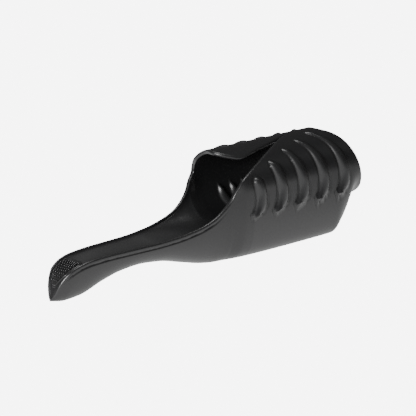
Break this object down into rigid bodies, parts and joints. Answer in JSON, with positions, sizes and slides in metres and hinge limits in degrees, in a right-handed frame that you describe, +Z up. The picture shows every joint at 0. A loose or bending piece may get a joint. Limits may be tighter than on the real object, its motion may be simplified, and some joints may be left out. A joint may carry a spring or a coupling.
{
  "type": "wrap sleeve massager",
  "caption": "Soft hand-held vibrating massager: an open ribbed sleeve on a motor keel, with a long tongue that ends in a nubbed fingertip pad.",
  "frame": {"origin": "under the middle of the object's length and width, on the surface it stands on", "axes": "+X along the length from the tongue's tip to the sleeve's collar, +Z up, +Y to the side of the overlapping flap"},
  "size_m": [0.232, 0.0446, 0.0628],
  "materials": {
    "black_silicone": "satin moulded silicone",
    "gloss_silicone": "glossy moulded silicone nubs",
    "black_abs": "fine spark-eroded ABS",
    "panel_plastic": "satin moulded panel",
    "button_plastic": "satin moulded button",
    "soft_rubber": "matte rubber",
    "motor_steel": "drawn steel can",
    "shaft_steel": "ground shaft",
    "weight_metal": "sintered heavy metal",
    "screw_steel": "zinc plated",
    "cell_foil": "pouch cell foil",
    "foam": "open-cell foam",
    "board": "solder mask",
    "chip": "moulded package",
    "socket": "nylon",
    "contact": "gold flash",
    "lens": "clear light pipe",
    "lead_red": "soft insulation",
    "lead_black": "soft insulation"
  },
  "bodies": {
    "sleeve": {"silicone_body": "black_silicone", "nub_pad": "gloss_silicone", "core_tray": "black_abs", "core_lid": "black_abs", "core_screw_1": "screw_steel", "core_screw_2": "screw_steel", "core_screw_3": "screw_steel", "core_screw_4": "screw_steel", "main_motor_can": "motor_steel", "main_motor_cradle": "soft_rubber", "battery_pad": "foam", "battery_cell": "cell_foil", "board_foam": "foam", "circuit_board": "board", "controller_chip": "chip", "lead_socket": "socket", "panel_seal": "soft_rubber", "control_panel": "panel_plastic", "power_switch": "chip", "mode_switch": "chip", "charge_contact_1": "contact", "charge_contact_2": "contact", "status_lens": "lens", "switch_board": "board", "tip_capsule_cup": "black_abs", "tip_capsule_cap": "black_abs", "tip_motor_can": "motor_steel", "tip_lead_red": "lead_red", "tip_lead_black": "lead_black"},
    "main_rotor": {"main_motor_shaft": "shaft_steel", "main_motor_weight": "weight_metal"},
    "tip_rotor": {"tip_motor_shaft": "shaft_steel", "tip_motor_weight": "weight_metal"},
    "power_key": {"power_button": "button_plastic"},
    "mode_key": {"mode_button": "button_plastic"}
  },
  "joints": [
    {"name": "main_motor_spin", "type": "hinge", "parent": "sleeve", "child": "main_rotor", "pos_m": [0.0307, 0, 0.01], "axis": [1, 0, 0], "continuous": true},
    {"name": "tip_motor_spin", "type": "hinge", "parent": "sleeve", "child": "tip_rotor", "pos_m": [-0.0929, 0, 0.0133], "axis": [1, 0, 0], "continuous": true},
    {"name": "power_button_press", "type": "slide", "parent": "sleeve", "child": "power_key", "axis": [-1, 0, 0], "range_m": [0, 0.0006], "stiffness_N_per_m": 2000},
    {"name": "mode_button_press", "type": "slide", "parent": "sleeve", "child": "mode_key", "axis": [-1, 0, 0], "range_m": [0, 0.0006], "stiffness_N_per_m": 2000}
  ]
}
